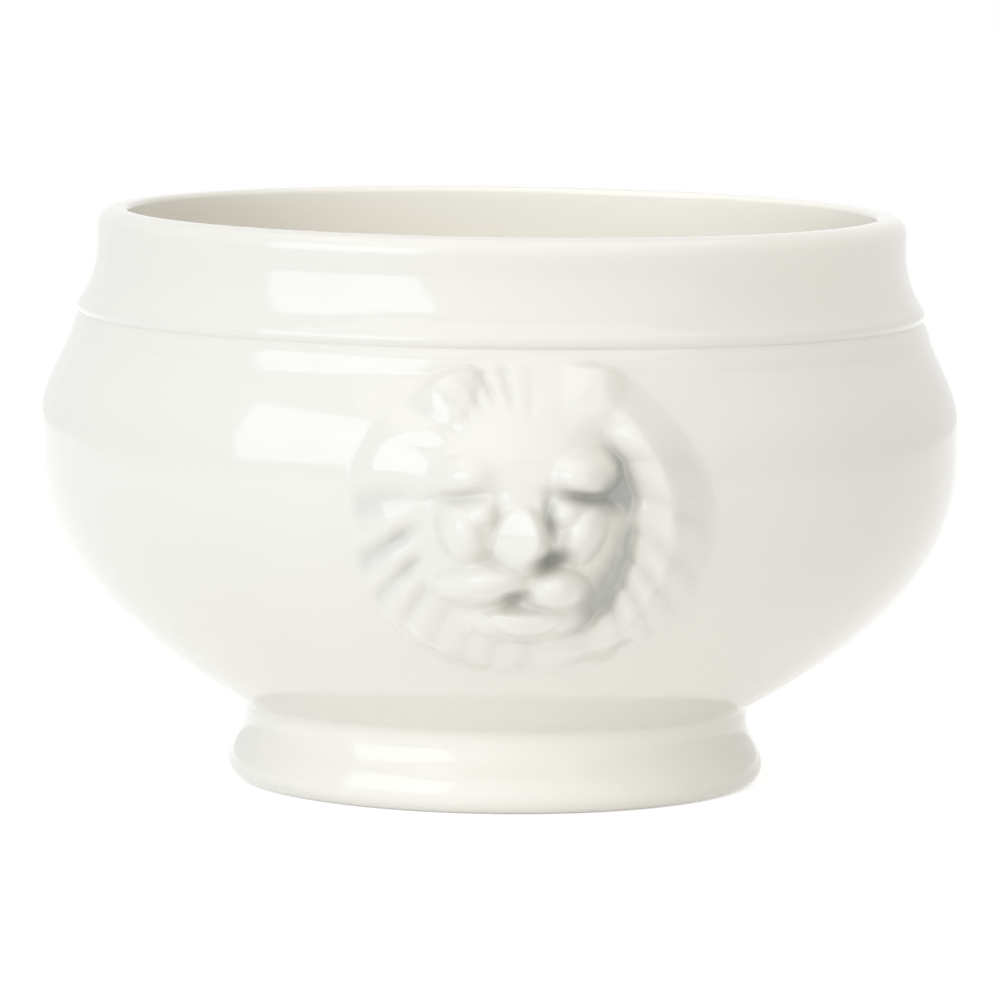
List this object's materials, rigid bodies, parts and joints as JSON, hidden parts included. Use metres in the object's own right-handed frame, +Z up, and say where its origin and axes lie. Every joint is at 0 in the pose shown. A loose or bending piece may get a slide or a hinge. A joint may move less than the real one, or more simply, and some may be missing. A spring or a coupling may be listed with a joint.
{
  "type": "french onion soup crock",
  "caption": "Round-bellied footed soup bowl in warm white glazed stoneware, with a hollow collar, a rounded lip and lion-head masks on opposite sides of the belly.",
  "frame": {"origin": "on the table under the middle of the foot", "axes": "+Z up out of the mouth, -Y out of the front lion head"},
  "size_m": [0.128, 0.1488, 0.0792],
  "materials": {
    "bowl_glaze": "glossy warm white glaze",
    "foot_glaze": "glossy warm white glaze",
    "lion_glaze": "glossy warm white glaze",
    "joint_slip": "fired slip under the glaze"
  },
  "bodies": {
    "root": {"bowl_wall": "bowl_glaze", "foot_ring": "foot_glaze", "foot_slip": "joint_slip", "lion_head_front": "lion_glaze", "lion_slip_front": "joint_slip", "lion_head_back": "lion_glaze", "lion_slip_back": "joint_slip"}
  },
  "joints": []
}
